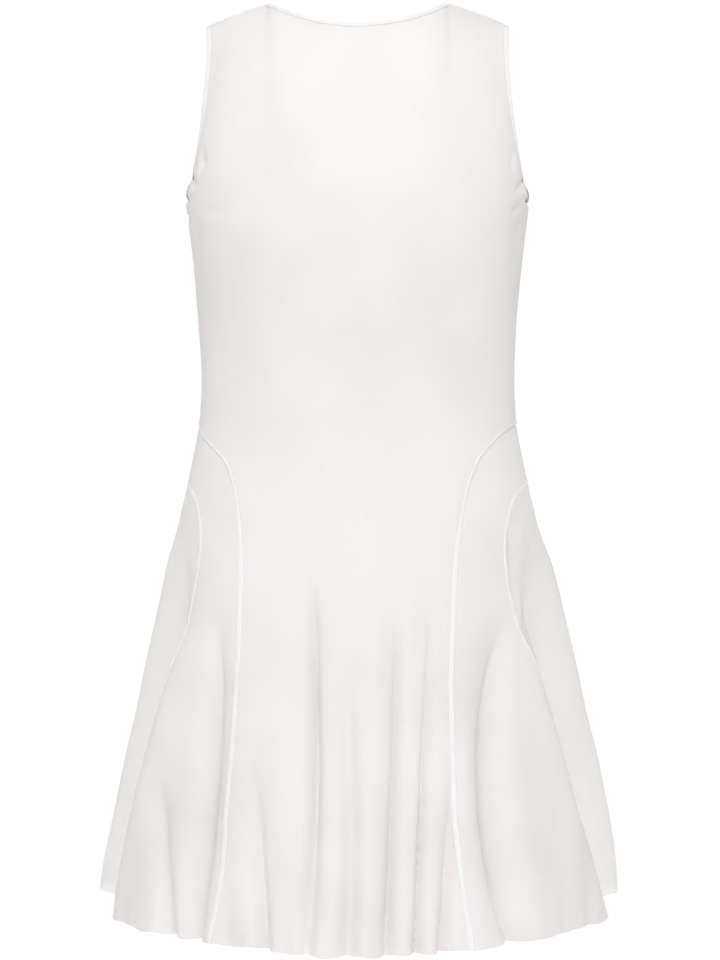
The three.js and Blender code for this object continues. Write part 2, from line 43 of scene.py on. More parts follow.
# ---- the garment's surface: the same sizes as the solids ---------------------
Z_UNDER, Z_HEM = -174.0, -848.0
Z_ARCH_A, Z_ARCH_B = -383.0, -437.0
NECK_HALF, NECK_TOP = 83.0, 11.4
TIP_X, TIP_Z = 142.0, -11.0
BACK_NECK = dict(depth=31.6, reach=58.0, curve=1.6, lean=1.1)
FRONT_NECK = dict(depth=116.0, reach=88.0, curve=0.72, lean=0.85)
U_NECK = 0.6

# height, half width, depth of back and of front, squareness of back and front
SECTIONS = np.array([
    (-174, 161.5, 107.5, 113, 2.30, 2.30),
    (-212, 156.5, 106, 121, 2.30, 2.25),
    (-250, 152.5, 102.5, 122.5, 2.25, 2.20),
    (-290, 148.8, 97, 115, 2.20, 2.20),
    (-343, 146.5, 91.5, 104, 2.15, 2.20),
    (-383, 148.5, 91.5, 102.5, 2.15, 2.20),
    (-420, 155.5, 94.5, 104.5, 2.15, 2.20),
    (-470, 165.5, 102, 110, 2.15, 2.20),
    (-530, 173, 114, 119.5, 2.10, 2.15),
    (-600, 180, 129, 131, 2.05, 2.12),
    (-680, 190, 145, 144, 1.98, 2.10),
    (-760, 202, 161, 157, 1.90, 2.10),
    (-848, 216, 177, 170, 1.85, 2.10),
], float)[::-1]

# name; angle at the top, half way and at the hem (from centre back, + towards
# +X); height where it starts; how far out half way and at the hem; width in
# degrees; how far its lips close over
FOLDS = [
    ("back_centre", 19, 13.5, 8, -470, -9, -9, 4.6, 2.5),
    ("back_centre_left", -5, -2, -3, -540, -6, -5, 4.8, 0),
    ("back_left", -22, -15.5, -14.5, -480, -9, -4, 6, 0),
    ("back_right", 33, 24, 17.5, -480, -5, -7, 3.2, 1.5),
    ("back_right_low", 34, 29.5, 25, -640, -4, -6, 3, 1),
    ("right_band", 62, 46, 48.5, -530, -12, -8, 4.6, 3),
    ("left_low", -37, -32.5, -28.5, -640, -4, -5, 4, 0),
    ("left_seam_low", -45, -43, -39, -740, -2, -4, 2.6, 0),
    ("left_band", -58, -52, -52.5, -520, -9, -8, 4, 3),
    ("left_outer", -72, -68, -61, -660, -4, -6, 3, 0),
    ("left_hollow", -40, -38, -36, -600, -2, -7, 13, 0),
    ("right_near_flute", 70, 77, 92.5, -540, 19, 36, 6.5, 0),
    ("right_deep", 80, 86, 101, -455, -38, -56, 7.6, 4),
    ("right_far_flute", 98, 109, 115, -440, 49, 87, 10.5, 0),
    ("left_near_flute", -70, -79, -94, -550, 23, 37, 6.5, 0),
    ("left_deep", -80, -88, -101, -455, -36, -56, 7.6, 4),
    ("left_far_flute", -98, -110, -120, -440, 43, 92, 11.5, 0),
    ("front_right_a", 134, 136, 138, -500, -10, -16, 5, 2),
    ("front_right_b", 148, 153, 156, -560, -6, -8, 4, 0),
    ("front_right_c", 162, 167, 170, -500, -8, -9, 4.6, 1.5),
    ("front_left_c", 188, 185, 184, -590, -6, -7, 4.2, 0),
    ("front_left_b", 207, 202, 199, -480, -9, -8, 5.2, 0),
    ("front_left_a", 224, 220, 216, -540, -9, -14, 4.6, 2),
]
# Finer falls of the same cloth, on this model only.
FINE_FOLDS = [
    ("t1", 19.6, 14.0, 8.5, -520, -8.0, -8.5, 1.6, 1.2),
    ("t2", -5.4, -2.4, -3.3, -585, -7.0, -10.5, 2.0, 0.8),
    ("t3", -22.5, -16.0, -15.0, -495, -10.5, -5.5, 1.6, 0.8),
    ("t4", 33.4, 24.4, 17.9, -520, -6.5, -9.0, 1.15, 1.0),
    ("t5", 34.3, 29.8, 25.3, -680, -6.0, -9.5, 1.4, 0.6),
    ("t6", 62.4, 46.4, 48.9, -550, -12.0, -11.0, 1.9, 2.0),
    ("t7", -37.4, -32.8, -28.8, -670, -5.5, -9.0, 1.5, 0.6),
    ("t8", -58.4, -52.4, -52.9, -550, -11.5, -11.5, 1.9, 2.0),
    ("t9", -72.4, -68.4, -61.4, -690, -7.0, -9.5, 1.7, 0),
    ("t10", 136.4, 138.2, 140.4, -540, -7.2, -8.5, 2.17, 0.8),
    ("t11", 150, 155, 158, -600, -4.4, -6.1, 2.03, 0),
    ("t12", 164, 169, 172, -550, -5.6, -6.8, 2.03, 0.6),
    ("t13", 188, 185, 184, -620, -4.8, -5.8, 2.03, 0),
    ("t14", 207, 202, 199, -520, -6.4, -6.8, 2.17, 0.6),
    ("t15", 224, 220, 216, -580, -6.0, -7.8, 2.17, 0.8),
    ("b1", 12, 10, 11.5, -700, -0.8, -2.2, 2.0, 0),
    ("b2", 3, 4, 3, -640, 1.2, 2.4, 3.0, 0),
    ("b3", -10, -9, -8.5, -680, 1.2, 2.4, 2.8, 0),
    ("b4", -20, -21, -21.5, -720, -0.8, -2.0, 2.2, 0),
    ("b5", 21, 20, 20.6, -700, 1.0, 2.2, 2.0, 0),
    ("b6", 39, 38.5, 38, -690, 1.0, 2.6, 2.6, 0),
    ("b7", 54, 55, 57, -640, 1.5, 3.0, 3.2, 0),
    ("b8", 66, 68, 70, -700, -1.2, -3.2, 3.0, 0),
    ("b9", 77, 79, 81, -650, -1.5, -3.4, 2.4, 0),
    ("b10", -47, -48, -48, -690, 1.2, 2.4, 2.2, 0),
    ("b11", -60, -59, -57, -640, 1.2, 2.2, 2.6, 0),
    ("b12", -78, -80, -82, -650, -1.5, -3.2, 2.6, 0),
    ("f1", 128, 129, 130, -640, 1.6, 3.2, 3.2, 0),
    ("f2", 143, 145, 147, -600, 1.6, 3.4, 3.6, 0),
    ("f3", 158, 160, 163, -650, 1.4, 3.0, 3.0, 0),
    ("f4", 174, 176, 177, -620, 1.6, 3.2, 3.6, 0),
    ("f5", 195, 193, 191.5, -660, 1.4, 3.0, 3.0, 0),
    ("f6", 214, 210, 207, -620, 1.6, 3.4, 3.4, 0),
    ("f7", 231, 229, 227, -640, 1.6, 3.2, 3.0, 0),
]
SEAM_A = np.array([  # drop, back right, front right, back left, front left
    (0, 90, 90, 90, 90), (9, 72, 73, 81, 79), (23, 63, 65, 70, 69),
    (37, 57, 59, 62.5, 61), (69, 50, 52, 55.5, 54), (117, 43.5, 45, 50.5, 48),
    (179, 38.5, 39, 47, 43), (237, 34.8, 35, 45, 39), (329, 33, 32, 44, 35),
    (400, 32.5, 31, 44, 33), (465, 33.2, 30, 45.5, 32)], float)
SEAM_B = np.array([
    (0, 90, 90, 90, 90), (6, 78, 78, 81, 80), (12, 72, 73, 76, 75),
    (24, 68, 69, 71.5, 70.5), (50, 63.5, 65, 67.8, 67), (80, 61.8, 62.5, 67.2, 65),
    (110, 62.2, 61, 68.5, 63), (150, 66, 59.5, 70.5, 61), (200, 73.5, 58, 75, 59),
    (260, 81.5, 57, 82, 58), (330, 89, 56, 89.5, 56.5), (411, 97, 55, 97.5, 55.5)], float)
LEG = {("back", 1): 1, ("front", 1): 2, ("back", -1): 3, ("front", -1): 4}
# u, angle, and the two inner points of the column's curve
YOKE_BACK = np.array([
    (0.0, 0, 0, -109.5, -122, 0, -95, -58), (0.3, 28.5, 60, -106, -120, 60, -84, -46),
    (0.6, 41.5, 90, -98, -114, 85, -62, -14), (0.8, 60, 132, -76, -124, 113, -60, -26),
    (1.0, 90, 150, -50, -166, 134, -68, -68)], float)
YOKE_FRONT = np.array([
    (0.0, 0, 0, 108, -150, 0, 99.5, -127), (0.3, 35, 69, 100, -141, 65, 83, -106),
    (0.6, 66, 128, 74, -112, 99, 45, -20), (0.8, 78, 140, 63, -144, 116, 54, -38),
    (1.0, 90, 149, 48, -167, 127, 66, -72)], float)


def column(keys, vals, x):
    """Smooth curve through a table's column, its keys rising."""
    m = np.empty_like(vals)
    m[1:-1] = (vals[2:] - vals[:-2]) / (keys[2:] - keys[:-2])
    m[0] = (vals[1] - vals[0]) / (keys[1] - keys[0])
    m[-1] = (vals[-1] - vals[-2]) / (keys[-1] - keys[-2])
    x = np.asarray(x, float)
    xc = np.clip(x, keys[0], keys[-1])
    i = np.clip(np.searchsorted(keys, xc, side="right") - 1, 0, len(keys) - 2)
    h = keys[i + 1] - keys[i]
    t = (xc - keys[i]) / h
    y = (vals[i] * (2 * t**3 - 3 * t**2 + 1) + m[i] * h * (t**3 - 2 * t**2 + t)
         + vals[i + 1] * (-2 * t**3 + 3 * t**2) + m[i + 1] * h * (t**3 - t**2))
    return y + np.minimum(x - keys[0], 0) * m[0] + np.maximum(x - keys[-1], 0) * m[-1]


def ease(x, a, b):
    t = np.clip((np.asarray(x, float) - a) / (b - a), 0, 1)
    return t * t * (3 - 2 * t)


def wrap(d):
    return (np.asarray(d, float) + 180.0) % 360.0 - 180.0


def through3(a, b, c, t):
    return a * (1 - t) * (1 - 2 * t) + b * 4 * t * (1 - t) + c * t * (2 * t - 1)


def skin(th, z, fine=True):
    """The garment below the underarms: angle and height to a point."""
    th, z = np.broadcast_arrays(np.asarray(th, float), np.asarray(z, float))
    half, back, front, nb, nf = (column(SECTIONS[:, 0], SECTIONS[:, k], z) for k in range(1, 6))
    a = np.abs(wrap(th))
    n = nb + (nf - nb) * ease(a, 50, 130)
    c, s = np.cos(np.radians(a)), np.sin(np.radians(a))
    r = (np.abs(c / np.where(c >= 0, back, front)) ** n + (s / half) ** n) ** (-1.0 / n)
    side = np.zeros_like(r)
    for _, top, mid, hem, z0, dm, dh, w, close in FOLDS + (FINE_FOLDS if fine else []):
        t = np.clip((z0 - z) / (z0 - Z_HEM), 0, 1)
        amp = through3(0.0, dm, dh, t) * ease(t, 0, 0.2)
        x = wrap(th - through3(top, mid, hem, t)) / w
        bell = np.exp(-0.5 * x * x)
        r = r + amp * bell
        side = side - close * (amp / dm) * x * bell
    rise = 3.0 * ease(a, 8, 40) * (1 - ease(a, 62, 84)) + 4.0 * ease(a, 96, 112)
    low = np.clip((-560 - z) / (-560 - Z_HEM), 0, 1)
    s, c = np.sin(np.radians(th)), np.cos(np.radians(th))
    return np.stack([r * s + side * c, -r * c + side * s, z + rise * low * low], -1)


def top_edge(u, neck, sign):
    """Neckline up to U_NECK, then the shoulder seam."""
    p = np.clip(u / U_NECK, 0, 1) * math.pi / 2
    c = np.maximum(0, np.cos(p))
    w = np.clip((u - U_NECK) / (1 - U_NECK), 0, 1)
    on = (u <= U_NECK)
    x = np.where(on, NECK_HALF * np.sin(p), NECK_HALF + (TIP_X - NECK_HALF) * w)
    y = np.where(on, sign * neck["reach"] * c ** neck["lean"], 0.0)
    z = np.where(on, NECK_TOP - neck["depth"] * c ** neck["curve"],
                 NECK_TOP + (TIP_Z - NECK_TOP) * (0.75 * w + 0.25 * w * w))
    return np.stack([x, y, z], -1)


def yoke_angle(us, table, sign):
    a = column(table[:, 0], table[:, 1], np.abs(us))
    a = a if sign < 0 else 180 - a
    return np.where(us < 0, -a, a)


def yoke(us, vs, table, neck, sign):
    """Points (rows over vs, columns over us) of a yoke, from the underarm level up."""
    u = np.abs(us)
    b = skin(column(table[:, 0], table[:, 1], u) if sign < 0 else 180 - column(table[:, 0], table[:, 1], u), Z_UNDER)
    c1 = np.stack([column(table[:, 0], table[:, k], u) for k in (2, 3, 4)], -1)
    c2 = np.stack([column(table[:, 0], table[:, k], u) for k in (5, 6, 7)], -1)
    e = top_edge(u, neck, sign)
    t = np.linspace(0, 1, 161)[None, :, None]
    curve = ((1 - t) ** 3 * b[:, None] + 3 * (1 - t) ** 2 * t * c1[:, None]
             + 3 * (1 - t) * t**2 * c2[:, None] + t**3 * e[:, None])
    out = np.empty((len(vs), len(us), 3))
    for j in range(len(us)):
        d = np.r_[0, np.cumsum(np.linalg.norm(np.diff(curve[j], axis=0), axis=1))]
        for k in range(3):
            out[:, j, k] = np.interp(np.asarray(vs) * d[-1], d, curve[j, :, k])
    out[:, us < 0, 0] *= -1
    return out


# ---- seams ---------------------------------------------------------------
def seam_angle(table, which, side, drop):
    a = column(np.sqrt(table[:, 0]), table[:, LEG[which, side]], np.sqrt(drop))
    return side * (a if which == "back" else 180 - a)


def seam_drops(table, top, rows):
    """Drops below the top of an arch, evenly spaced along its legs."""
    total = top - Z_HEM
    d = (np.linspace(0, 1, 1201) ** 2) * total
    length = np.zeros(len(d))
    for (which, side) in LEG:
        p = skin(seam_angle(table, which, side, d), top - d, fine=False)
        length += np.r_[0, np.cumsum(np.linalg.norm(np.diff(p, axis=0), axis=1))] / 4
    even = np.interp(np.linspace(0, length[-1], rows + 1), length, d)
    even[0], even[-1] = 0, total
    return np.r_[even[:-1], total - 1.3, total] if even[-1] - even[-2] > 2.4 else even


SEAM_ROWS = 112
DROPS_A, DROPS_B = seam_drops(SEAM_A, Z_ARCH_A, SEAM_ROWS), seam_drops(SEAM_B, Z_ARCH_B, SEAM_ROWS)


def seam_nodes(table, top, drops, which, side):
    return np.stack([seam_angle(table, which, side, drops), top - drops], -1)


A = {k: seam_nodes(SEAM_A, Z_ARCH_A, DROPS_A, *k) for k in LEG}
B = {k: seam_nodes(SEAM_B, Z_ARCH_B, DROPS_B, *k) for k in LEG}


def row_between(a, b, cells):
    """Angles and heights between two nodes, evenly spaced along the cloth."""
    s = np.linspace(0, 1, 361)
    th, z = a[0] + (b[0] - a[0]) * s, a[1] + (b[1] - a[1]) * s
    p = skin(th, z)
    d = np.r_[0, np.cumsum(np.linalg.norm(np.diff(p, axis=0), axis=1))]
    t = np.interp(np.linspace(0, d[-1], cells + 1), d, s)
    return a[0] + (b[0] - a[0]) * t, a[1] + (b[1] - a[1]) * t


# ---- creases set one by one -------------------------------------------------
# name; -1 on the back, 1 on the front, 0 over the side seam; how far out (- is
# a trough); width; points (x, z) of its line as seen from that side
CREASES = [
    ("ua_l_knot", 0, -5.0, 1.5, [(-166, -170), (-159, -175), (-154, -180), (-149, -185)]),
    ("ua_l_arc", -1, -3.2, 1.5, [(-156, -153), (-153, -158), (-150, -163), (-149, -169)]),
    ("ua_l_puff", -1, 2.6, 2.6, [(-155, -169), (-151, -174)]),
    ("ua_l_streak", -1, -3.6, 1.5, [(-141, -132), (-142, -140), (-141, -148), (-144, -156)]),
    ("ua_l_second", 0, -2.6, 1.8, [(-163, -187), (-156, -193), (-149, -198)]),
    ("ua_l_low", -1, -2.2, 3.4, [(-153, -190), (-150, -205), (-148, -224), (-147, -244)]),
    ("ua_l_drag", -1, -0.7, 3.6, [(-148, -186), (-132, -193), (-112, -196)]),
    ("ua_l_drag2", -1, -0.5, 5.0, [(-146, -204), (-130, -216), (-112, -222)]),
    ("ua_r_knot", 0, -4.6, 1.5, [(166, -171), (159, -177), (152, -181), (146, -187)]),
    ("ua_r_arc", -1, -3.0, 1.5, [(157, -157), (152, -162), (149, -168), (145, -174)]),
    ("ua_r_puff", -1, 2.4, 2.6, [(156, -171), (151, -176)]),
    ("ua_r_third", -1, -2.6, 1.5, [(150, -184), (144, -192), (141, -200)]),
    ("ua_r_streak", -1, -2.8, 1.5, [(141, -136), (142, -146), (140, -154)]),
    ("ua_r_low", -1, -2.2, 3.2, [(152, -190), (149, -203), (147, -220), (146, -238)]),
    ("ua_r_drag", -1, -0.7, 3.6, [(144, -188), (126, -193), (106, -192)]),
    ("ua_r_drag2", -1, -0.5, 5.0, [(145, -206), (128, -214), (110, -218)]),
    ("ua_fl_arc", 1, -2.4, 1.9, [(-156, -158), (-149, -167), (-144, -178)]),
    ("ua_fl_drag", 1, -1.8, 3.4, [(-150, -184), (-130, -194), (-110, -199), (-92, -199)]),
    ("ua_fl_drag2", 1, -1.0, 4.0, [(-148, -202), (-128, -214), (-108, -221)]),
    ("ua_fr_arc", 1, -2.5, 1.9, [(156, -160), (150, -168), (144, -176)]),
    ("ua_fr_drag", 1, -1.7, 3.4, [(149, -186), (128, -194), (112, -197), (96, -195)]),
    ("ua_fr_drag2", 1, -1.0, 4.0, [(148, -205), (126, -213), (104, -217)]),
    ("waist_l", -1, -0.5, 5.0, [(-142, -318), (-120, -326), (-92, -328)]),
    ("waist_r", -1, -0.5, 5.0, [(142, -326), (118, -334), (90, -334)]),
    ("waist_fl", 1, -0.6, 5.0, [(-142, -322), (-118, -330), (-88, -331)]),
    ("waist_fr", 1, -0.6, 5.0, [(142, -316), (116, -325), (90, -327)]),
]


def smooth_line(pts, n=14):
    p = np.array(pts, float)
    k = np.r_[0, np.cumsum(np.linalg.norm(np.diff(p, axis=0), axis=1))]
    s = np.linspace(0, k[-1], n)
    if len(p) < 3:
        return np.stack([np.interp(s, k, p[:, i]) for i in (0, 1)], -1)
    return np.stack([column(k, p[:, i], s) for i in (0, 1)], -1)


def normals_of(P):
    """Normals of a grid of points, turned outward from the dress's middle."""
    N = np.cross(np.gradient(P, axis=1), np.gradient(P, axis=0))
    N /= np.maximum(np.linalg.norm(N, axis=-1, keepdims=True), 1e-9)
    out = P * np.array([1, 1, 0.0])
    if (N * out).sum() < 0:
        N = -N
    return N


def creased(P):
    """The grid with its listed creases and the cloth's slight unevenness."""
    N = normals_of(P)
    move = np.zeros(P.shape[:2])
    x, y, z = P[..., 0], P[..., 1], P[..., 2]
    for _, side, amp, w, pts in CREASES:
        line = smooth_line(pts)
        lo, hi = line.min(0) - 3.2 * w, line.max(0) + 3.2 * w
        m = (x > lo[0]) & (x < hi[0]) & (z > lo[1]) & (z < hi[1]) & (side * y > -2) & (abs(y) < (40 if side == 0 else 1e9))
        if not m.any():
            continue
        q = np.stack([x[m], z[m]], -1)
        best, where = np.full(len(q), 1e9), np.zeros(len(q))
        for k in range(len(line) - 1):
            a, d = line[k], line[k + 1] - line[k]
            t = np.clip(((q - a) @ d) / (d @ d), 0, 1)
            r = np.linalg.norm(q - a - t[:, None] * d, axis=1)
            near = r < best
            best[near], where[near] = r[near], (k + t[near]) / (len(line) - 1)
        taper = 0.25 + 0.75 * np.sin(np.pi * np.clip(where, 0, 1)) ** 0.8
        near_edge = ease(side * y[m], -1, 12) if side else 1 - ease(abs(y[m]), 14, 38)
        move[m] += amp * taper * np.exp(-0.5 * (best / w) ** 2) * near_edge
    a = np.arctan2(x, -y)
    wob = (np.sin(3.1 * a + 0.021 * z + 0.6) * np.sin(0.034 * z + 1.9 * a + 1.1)
           + 0.7 * np.sin(7.3 * a - 0.017 * z + 2.0) * np.sin(0.052 * z - 2.7 * a))
    low = ease(-z, 560, 848)
    move += wob * (0.35 + 0.35 * low)
    # the hem flutters a little, more in some places than in others
    edge = ease(-z, 790, 849)
    flut = (np.sin(31 * a + 1.3) * (0.6 + 0.4 * np.sin(5 * a + 0.4)) + 0.7 * np.sin(53 * a + 0.5 * np.sin(9 * a)))
    move += edge**2 * 0.75 * flut
    P = P + N * move[..., None]
    P[..., 2] += edge**3 * (0.5 * np.sin(23 * a + 2) + 0.45 * np.sin(41 * a + 0.7 * np.sin(6 * a)))
    return P


# ---- meshes ---------------------------------------------------------------
def new_object(name, verts, faces, mat, uv=None, sharp=38):
    me = bpy.data.meshes.new(name)
    me.from_pydata((np.asarray(verts) * MM).tolist(), [], faces)
    me.update()
    if uv is not None:
        idx = np.empty(len(me.loops), dtype=np.int32)
        me.loops.foreach_get("vertex_index", idx)
        layer = me.uv_layers.new(name="cloth")
        layer.data.foreach_set("uv", np.asarray(uv, dtype=np.float32)[idx].ravel())
    me.polygons.foreach_set("use_smooth", np.ones(len(me.polygons), dtype=bool))
    if sharp:
        me.set_sharp_from_angle(angle=math.radians(sharp))
    me.materials.append(mat)
    ob = bpy.data.objects.new(name, me)
    bpy.context.scene.collection.objects.link(ob)
    return ob


def volume_sign(verts, faces):
    v = np.asarray(verts)
    f = np.array([t for q in faces for t in ((q[0], q[1], q[2]), (q[0], q[2], q[3 % len(q)]))])
    return np.sign((v[f[:, 0]] * np.cross(v[f[:, 1]], v[f[:, 2]])).sum())


def shell(name, P, thick, mat, hem_row=None):
    """A grid of the outer face made into a closed thin shell of cloth."""
    P = creased(P)
    N = normals_of(P)
    R, C = P.shape[:2]
    t = np.full((R, C), float(thick))
    if hem_row is not None:
        for r in hem_row:
            t[r] = thick * 1.9
    outer = P + N * ((t - thick) * 0.5)[..., None]
    inner = outer - N * t[..., None]
    V = np.concatenate([outer.reshape(-1, 3), inner.reshape(-1, 3)])
    n = R * C
    i, j = np.meshgrid(np.arange(R - 1), np.arange(C - 1), indexing="ij")
    a = (i * C + j).ravel()
    q = np.stack([a, a + 1, a + C + 1, a + C], -1)
    rim = np.r_[np.arange(C), np.arange(1, R) * C + C - 1, (R - 1) * C + np.arange(C - 2, -1, -1), np.arange(R - 2, 0, -1) * C]
    nxt = np.roll(rim, -1)
    edge = np.stack([rim, rim + n, nxt + n, nxt], -1)
    F = np.concatenate([q, q[:, ::-1] + n, edge])
    if (V[F[:, 0]] * np.cross(V[F[:, 1]], V[F[:, 2]])).sum() + (V[F[:, 0]] * np.cross(V[F[:, 2]], V[F[:, 3]])).sum() < 0:
        F = F[:, ::-1]
    du = np.linalg.norm(np.diff(P, axis=1), axis=-1)
    dv = np.linalg.norm(np.diff(P, axis=0), axis=-1)
    U = np.c_[np.zeros(R), np.cumsum(du, axis=1)]
    U -= U[:, [C // 2]]
    W = np.r_[np.zeros((1, C)), np.cumsum(dv, axis=0)]
    uv = np.stack([U, W], -1).reshape(-1, 2) * MM
    ob = new_object(name, V, F.tolist(), mat, uv=np.concatenate([uv, uv]))
    area = 0.5 * (np.linalg.norm(np.cross(P[1:, :-1] - P[:-1, :-1], P[:-1, 1:] - P[:-1, :-1]), axis=-1).sum()
                  + np.linalg.norm(np.cross(P[1:, 1:] - P[1:, :-1], P[1:, 1:] - P[:-1, 1:]), axis=-1).sum()) * 1e-6
    print("sheet", name, "area m2", round(float(area), 4), "across", round(float(U.max() - U.min()), 1),
          "down", round(float(W.max()), 1), "faces", len(F))
    return ob, P, N


def sweep(name, pts, up, profile, mat, closed=False, size=None):
    """A section (across, out) swept along a line that lies on the cloth."""
    p, n = np.asarray(pts, float), np.asarray(up, float)
    t = (np.roll(p, -1, 0) - np.roll(p, 1, 0)) if closed else np.gradient(p, axis=0)
    t /= np.linalg.norm(t, axis=1, keepdims=True)
    n = n - (n * t).sum(1)[:, None] * t
    n /= np.linalg.norm(n, axis=1, keepdims=True)
    b = np.cross(t, n)
    prof = np.asarray(profile, float)
    m, k = len(p), len(prof)
    size = np.ones((m, 2)) if size is None else size
    ring = (p[:, None] + (prof[None, :, 0] * size[:, :1])[..., None] * b[:, None]
            + (prof[None, :, 1] * size[:, 1:])[..., None] * n[:, None])
    V = ring.reshape(-1, 3)
    F = []
    for i in range(m if closed else m - 1):
        i2 = (i + 1) % m
        for s in range(k):
            s2 = (s + 1) % k
            F.append((i * k + s, i * k + s2, i2 * k + s2, i2 * k + s))
    if not closed:
        F.append(tuple(range(k))[::-1])
        F.append(tuple((m - 1) * k + s for s in range(k)))
    quads = [f for f in F if len(f) == 4]
    if volume_sign(V, quads) < 0:
        F = [f[::-1] for f in F]
    d = np.r_[0, np.cumsum(np.linalg.norm(np.diff(p, axis=0), axis=1))]
    w = np.r_[0, np.cumsum(np.linalg.norm(np.diff(prof, axis=0), axis=1))]
    uv = np.stack([np.broadcast_to(w, (m, k)), np.broadcast_to(d[:, None], (m, k))], -1).reshape(-1, 2) * MM
    ob = new_object(name, V, F, mat, uv=uv, sharp=60)
    return ob, b


def thread_run(name, rows, pitch, length, radius, mat):
    """Short stitches laid along lines on the cloth.  rows: (points, up, across, out, slant)."""
    V, F = [], []
    sides, rings = 5, [(-0.5, 0.30), (-0.36, 0.92), (0.36, 0.92), (0.5, 0.30)]
    ang = np.arange(sides) * 2 * math.pi / sides
    for pts, up, across, out, slant in rows:
        p, n = np.asarray(pts, float), np.asarray(up, float)
        d = np.r_[0, np.cumsum(np.linalg.norm(np.diff(p, axis=0), axis=1))]
        count = int(d[-1] / pitch)
        s = (np.arange(count) + 0.5) * d[-1] / count
        c = np.stack([np.interp(s, d, p[:, k]) for k in range(3)], -1)
        t = np.stack([np.interp(s + 0.8, d, p[:, k]) - np.interp(s - 0.8, d, p[:, k]) for k in range(3)], -1)
        t /= np.linalg.norm(t, axis=1, keepdims=True)
        m = np.stack([np.interp(s, d, n[:, k]) for k in range(3)], -1)
        m -= (m * t).sum(1)[:, None] * t
        m /= np.linalg.norm(m, axis=1, keepdims=True)
        b = np.cross(t, m)
        for i in range(count):
            wob = 0.06 * math.sin(i * 2.4 + across)
            axis = t[i] * math.cos(slant) + b[i] * math.sin(slant)
            cross = np.cross(axis, m[i])
            o = c[i] + b[i] * (across + wob) + m[i] * out
            base = len(V)
            for k, (at, r) in enumerate(rings):
                lift = 0.12 if 0 < k < 3 else -0.30
                for a in ang:
                    V.append(o + axis * (at * length) + m[i] * (lift + radius * r * math.sin(a)) + cross * (radius * r * math.cos(a)))
            for k in range(3):
                for q in range(sides):
                    q2 = (q + 1) % sides
                    F.append((base + k * sides + q, base + k * sides + q2, base + (k + 1) * sides + q2, base + (k + 1) * sides + q))
            F.append(tuple(base + q for q in range(sides))[::-1])
            F.append(tuple(base + 3 * sides + q for q in range(sides)))
    V = np.array(V)
    if volume_sign(V, [f for f in F if len(f) == 4][:15]) < 0:
        F = [f[::-1] for f in F]
    return new_object(name, V, F, mat, sharp=0)


# ---- materials --------------------------------------------------------------
def nodes_of(name):
    mat = bpy.data.materials.new(name)
    mat.use_nodes = True
    nt = mat.node_tree
    nt.nodes.clear()
    return mat, nt


def math_node(nt, op, a, b=None, c=None, clamp=False):
    n = nt.nodes.new("ShaderNodeMath")
    n.operation, n.use_clamp = op, clamp
    for i, v in enumerate((a, b, c)):
        if v is None:
            continue
        if hasattr(v, "links"):
            nt.links.new(v, n.inputs[i])
        else:
            n.inputs[i].default_value = v
    return n.outputs[0]


def ramp_mix(nt, fac, a, b):
    n = nt.nodes.new("ShaderNodeMix")
    n.data_type = "RGBA"
    nt.links.new(fac, n.inputs[0])
    for sock, v in ((n.inputs[6], a), (n.inputs[7], b)):
        if hasattr(v, "links"):
            nt.links.new(v, sock)
        else:
            sock.default_value = (*v, 1)
    return n.outputs[2]


def noise(nt, vec, scale, detail=2.0, rough=0.5):
    n = nt.nodes.new("ShaderNodeTexNoise")
    nt.links.new(vec, n.inputs["Vector"])
    n.inputs["Scale"].default_value = scale
    n.inputs["Detail"].default_value = detail
    n.inputs["Roughness"].default_value = rough
    return n.outputs["Fac"]


def scaled(nt, vec, s):
    n = nt.nodes.new("ShaderNodeMapping")
    nt.links.new(vec, n.inputs["Vector"])
    n.inputs["Scale"].default_value = s
    return n.outputs["Vector"]


